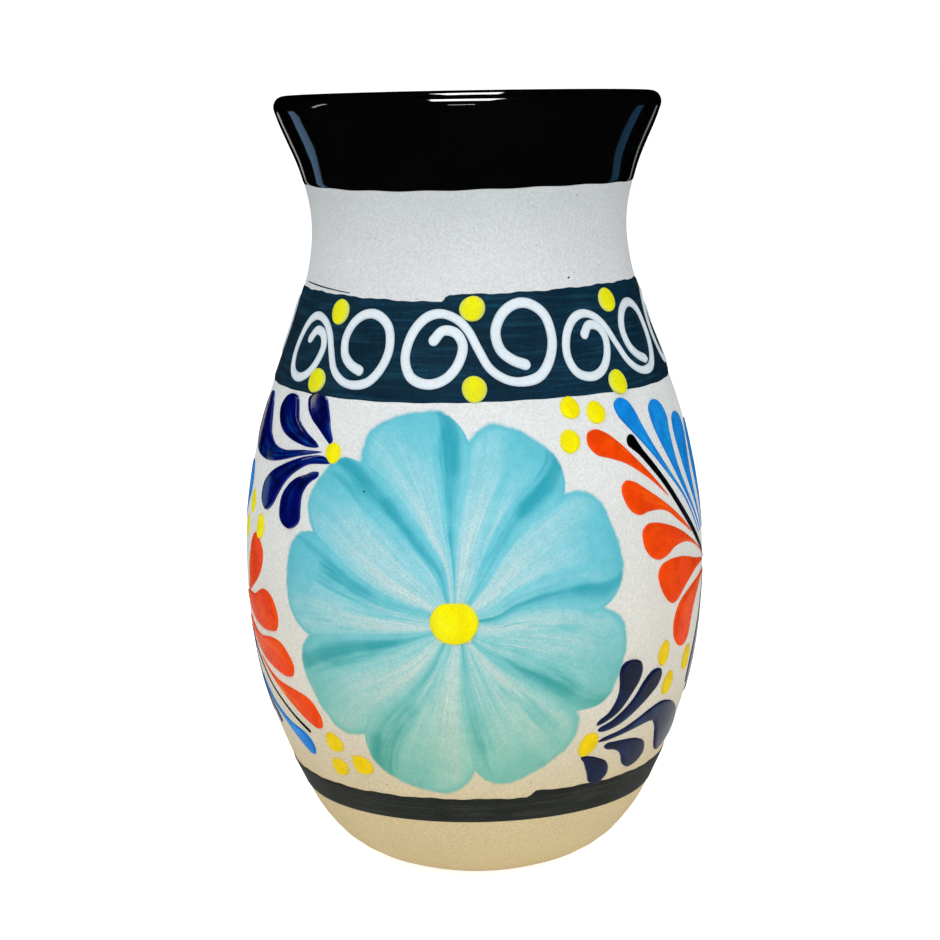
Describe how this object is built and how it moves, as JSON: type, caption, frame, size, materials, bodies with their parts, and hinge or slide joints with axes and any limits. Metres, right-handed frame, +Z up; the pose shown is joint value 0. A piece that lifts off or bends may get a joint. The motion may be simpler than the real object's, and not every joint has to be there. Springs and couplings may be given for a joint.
{
  "type": "hand-painted talavera pottery vase",
  "caption": "Flared-neck earthenware vase with a black glazed rim, dark bands, a border of raised scrolls and a large turquoise flower front and back.",
  "frame": {"origin": "centre of the flat underside that the vase stands on", "axes": "+Z up along the axis of the vessel; -Y towards the side painted with the first flower; +X to the right of somebody looking at that side"},
  "size_m": [0.1194, 0.122, 0.2],
  "materials": {
    "bare_clay": "unglazed, fine sandy matt",
    "black_glaze": "high gloss",
    "inner_glaze": "gloss",
    "slate_slip": "matt, brushed",
    "charcoal_slip": "satin, brushed",
    "turquoise_wash": "satin, translucent brushed wash",
    "yellow_enamel": "gloss, raised",
    "white_enamel": "satin, raised",
    "navy_enamel": "gloss, raised",
    "orange_enamel": "gloss, raised",
    "blue_enamel": "gloss, raised",
    "black_enamel": "gloss, raised"
  },
  "bodies": {
    "root": {"back_flower_eye": "yellow_enamel", "back_petal_1": "turquoise_wash", "back_petal_2": "turquoise_wash", "back_petal_3": "turquoise_wash", "back_petal_4": "turquoise_wash", "back_petal_5": "turquoise_wash", "back_petal_6": "turquoise_wash", "back_petal_7": "turquoise_wash", "back_petal_8": "turquoise_wash", "back_petal_9": "turquoise_wash", "clay_body": "bare_clay", "front_flower_eye": "yellow_enamel", "front_petal_1": "turquoise_wash", "front_petal_2": "turquoise_wash", "front_petal_3": "turquoise_wash", "front_petal_4": "turquoise_wash", "front_petal_5": "turquoise_wash", "front_petal_6": "turquoise_wash", "front_petal_7": "turquoise_wash", "front_petal_8": "turquoise_wash", "front_petal_9": "turquoise_wash", "inner_glaze": "inner_glaze", "lower_band": "charcoal_slip", "rim_glaze": "black_glaze", "scroll_1": "white_enamel", "scroll_2": "white_enamel", "scroll_3": "white_enamel", "scroll_4": "white_enamel", "scroll_5": "white_enamel", "scroll_6": "white_enamel", "scroll_7": "white_enamel", "scroll_8": "white_enamel", "scroll_dot_lower_1": "yellow_enamel", "scroll_dot_lower_2": "yellow_enamel", "scroll_dot_lower_3": "yellow_enamel", "scroll_dot_lower_4": "yellow_enamel", "scroll_dot_lower_5": "yellow_enamel", "scroll_dot_lower_6": "yellow_enamel", "scroll_dot_lower_7": "yellow_enamel", "scroll_dot_lower_8": "yellow_enamel", "scroll_dot_upper_1": "yellow_enamel", "scroll_dot_upper_2": "yellow_enamel", "scroll_dot_upper_3": "yellow_enamel", "scroll_dot_upper_4": "yellow_enamel", "scroll_dot_upper_5": "yellow_enamel", "scroll_dot_upper_6": "yellow_enamel", "scroll_dot_upper_7": "yellow_enamel", "scroll_dot_upper_8": "yellow_enamel", "upper_band": "slate_slip"}
  },
  "joints": []
}
